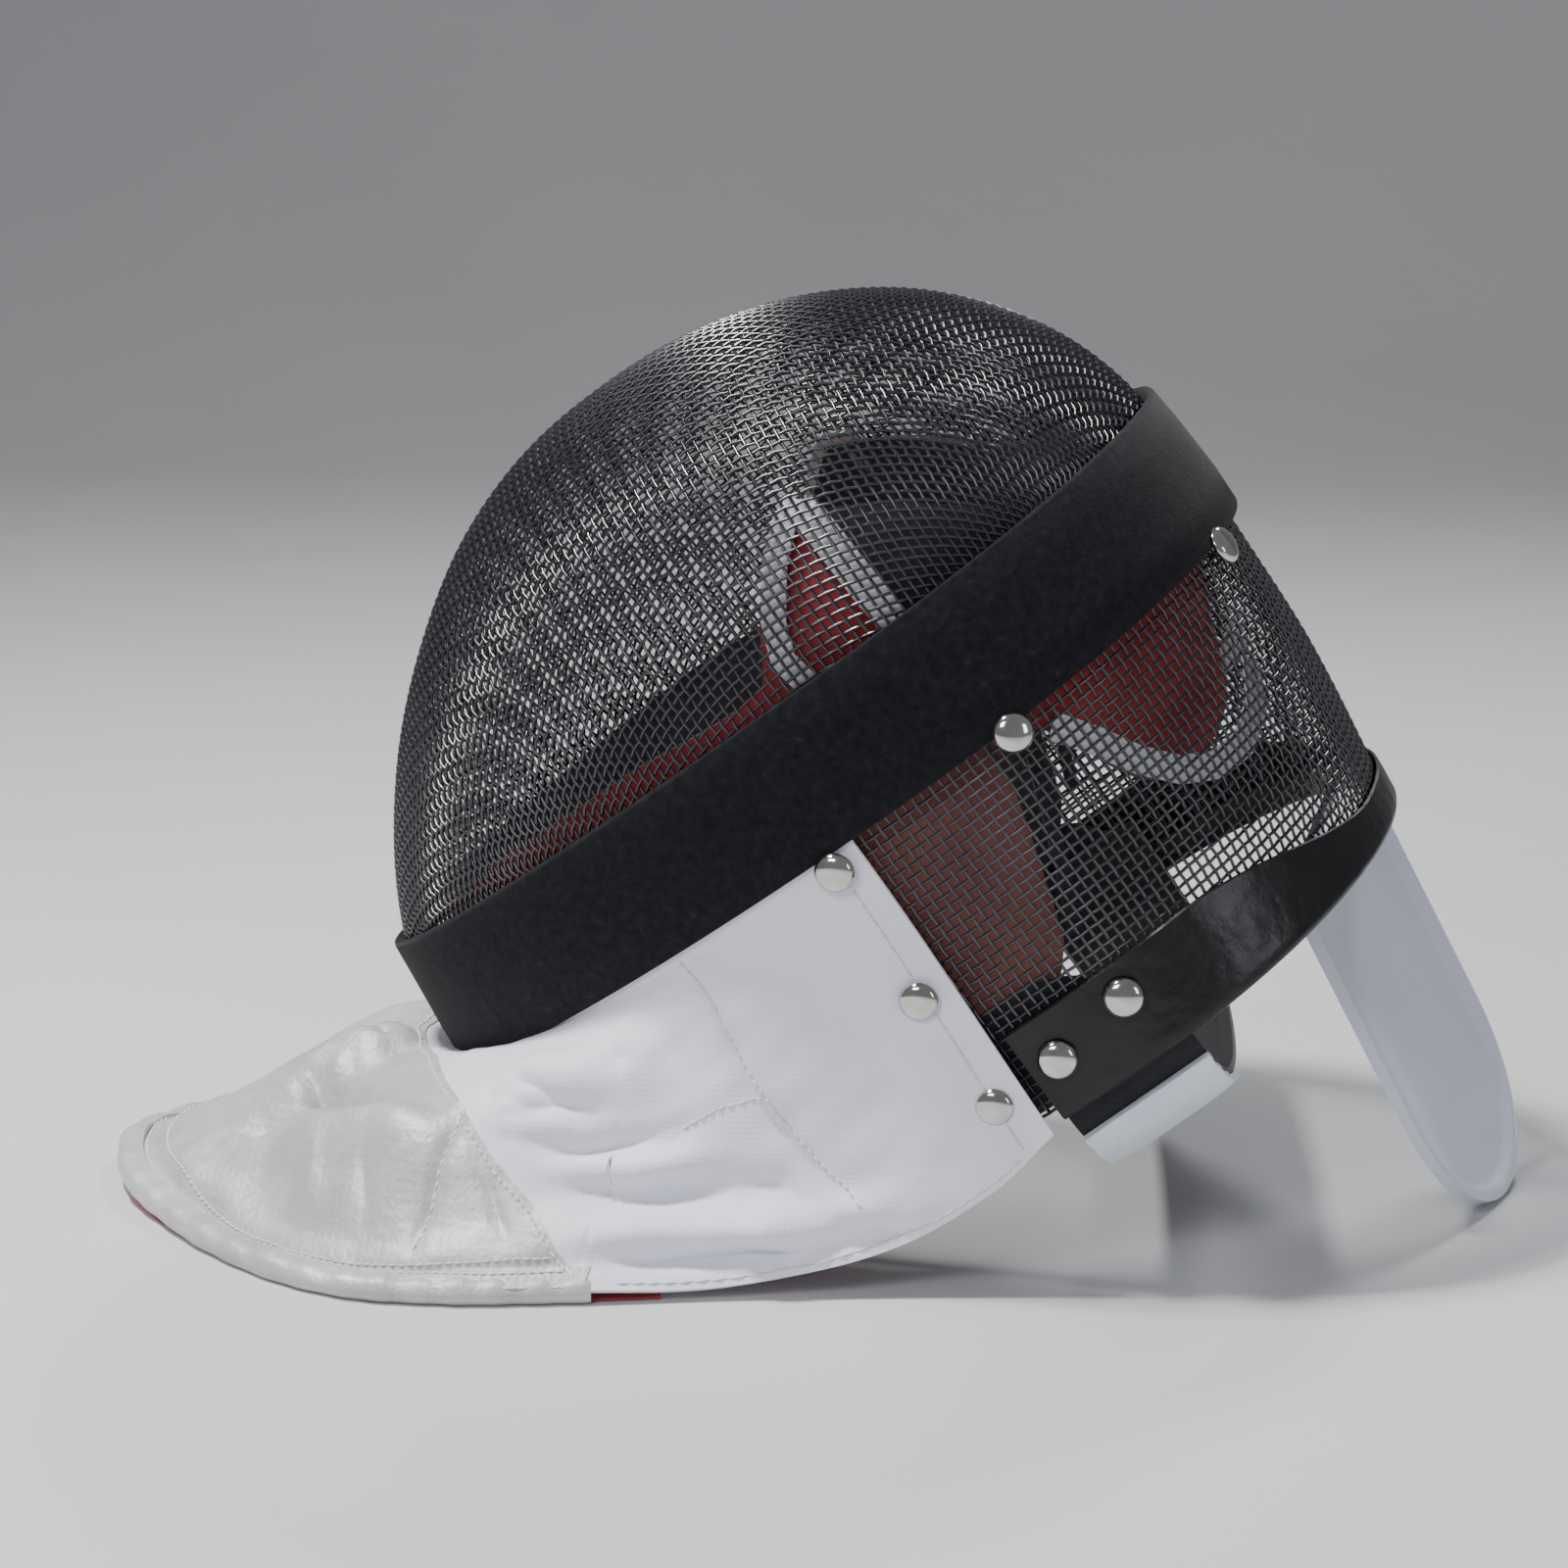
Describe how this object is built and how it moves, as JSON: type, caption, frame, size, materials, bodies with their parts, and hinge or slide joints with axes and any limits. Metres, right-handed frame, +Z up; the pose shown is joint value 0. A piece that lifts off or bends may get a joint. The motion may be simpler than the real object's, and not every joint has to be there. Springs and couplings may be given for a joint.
{
  "type": "fencing mask",
  "caption": "Foil fencing mask with a black wire mesh dome, white bib with a silver front, red padding and a spring tongue.",
  "frame": {"origin": "on the floor, under the middle of the mask's bounding box as it lies", "axes": "+Z up off the floor, +X from the bib's tip towards the tongue, +Y towards the wearer's right side"},
  "size_m": [0.43, 0.25, 0.2701],
  "materials": {
    "black_wire": "satin",
    "black_band": "matte",
    "black_trim": "satin",
    "red_padding": "matte",
    "red_lining": "matte",
    "black_elastic": "matte",
    "white_cloth": "matte",
    "silver_cloth": "satin",
    "white_plastic": "glossy",
    "steel": "satin",
    "chrome": "polished"
  },
  "bodies": {
    "root": {"face_mesh": "black_wire", "back_mesh": "black_wire", "seam_band": "black_band", "rim_trim": "black_trim", "cheek_pad": "red_padding", "forehead_pad": "red_padding", "strap": "black_elastic", "strap_pad": "white_cloth", "tongue": "white_plastic", "tongue_bracket": "steel", "rivet_band_side_left": "chrome", "rivet_band_side_right": "chrome", "rivet_band_crown_left": "chrome", "rivet_band_crown_right": "chrome", "rivet_bib_top_left": "chrome", "rivet_bib_top_right": "chrome", "rivet_bib_middle_left": "chrome", "rivet_bib_middle_right": "chrome", "rivet_bib_rear_left": "chrome", "rivet_bib_rear_right": "chrome", "rivet_strap_front_left": "chrome", "rivet_strap_front_right": "chrome", "rivet_strap_rear_left": "chrome", "rivet_strap_rear_right": "chrome", "bib_cloth": "white_cloth", "bib_lame": "silver_cloth", "bib_lining": "red_lining", "bib_hem": "silver_cloth"}
  },
  "joints": []
}
